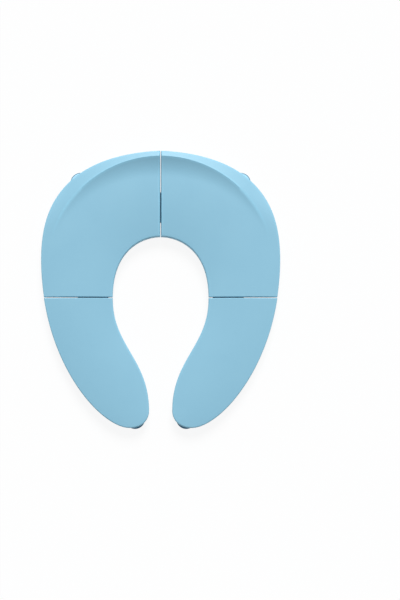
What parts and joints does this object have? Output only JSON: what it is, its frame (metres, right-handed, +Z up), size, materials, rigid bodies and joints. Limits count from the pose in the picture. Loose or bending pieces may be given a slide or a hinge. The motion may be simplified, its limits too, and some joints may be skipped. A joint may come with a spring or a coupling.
{
  "type": "folding toilet seat reducer",
  "caption": "Flat child's toilet seat ring, open at the front, of hollow moulded panels that fold up on link hinges and stand on round anti-slip pads.",
  "frame": {"origin": "on the floor under the middle of the open seat", "axes": "+X to the right, +Y to the back rim, +Z up"},
  "size_m": [0.2998, 0.3489, 0.0214],
  "materials": {
    "shell": "matt moulded polypropylene, pale blue",
    "link": "matt moulded plastic, blue",
    "pin": "drawn steel",
    "pad": "soft translucent silicone"
  },
  "bodies": {
    "rear_left": {"rear_left_panel": "shell", "center_left_pin": "pin", "left_rear_pin": "pin", "left_back_pad": "pad", "left_side_pad": "pad"},
    "front_left": {"front_left_arm": "shell", "left_front_pin": "pin", "left_arm_pad": "pad", "left_tip_pad": "pad"},
    "left_link": {"left_hinge_link": "link"},
    "rear_right": {"rear_right_panel": "shell", "center_right_pin": "pin", "right_rear_pin": "pin", "right_back_pad": "pad", "right_side_pad": "pad"},
    "front_right": {"front_right_arm": "shell", "right_front_pin": "pin", "right_arm_pad": "pad", "right_tip_pad": "pad"},
    "right_link": {"right_hinge_link": "link"},
    "center_link": {"center_hinge_link": "link"}
  },
  "joints": [
    {"name": "center_fold", "type": "hinge", "parent": "rear_left", "child": "center_link", "pos_m": [-0.0106, 0.104, 0.0039], "axis": [0, 1, 0], "range_deg": [0, 90]},
    {"name": "center_fold_far", "type": "hinge", "parent": "center_link", "child": "rear_right", "pos_m": [0.0106, 0.104, 0.0039], "axis": [0, 1, 0], "range_deg": [0, 90]},
    {"name": "left_arm_fold", "type": "hinge", "parent": "rear_left", "child": "left_link", "pos_m": [-0.0845, -0.007, 0.0092], "axis": [1, 0, 0], "range_deg": [0, 90]},
    {"name": "left_arm_fold_far", "type": "hinge", "parent": "left_link", "child": "front_left", "pos_m": [-0.0845, -0.015, 0.0092], "axis": [1, 0, 0], "range_deg": [0, 90]},
    {"name": "right_arm_fold", "type": "hinge", "parent": "rear_right", "child": "right_link", "pos_m": [0.0845, -0.007, 0.0092], "axis": [1, 0, 0], "range_deg": [0, 90]},
    {"name": "right_arm_fold_far", "type": "hinge", "parent": "right_link", "child": "front_right", "pos_m": [0.0845, -0.015, 0.0092], "axis": [1, 0, 0], "range_deg": [0, 90]}
  ],
  "couplings": [
    {"joint": "center_fold_far", "follows": "center_fold", "ratio": 1},
    {"joint": "left_arm_fold_far", "follows": "left_arm_fold", "ratio": 1},
    {"joint": "right_arm_fold_far", "follows": "right_arm_fold", "ratio": 1}
  ]
}
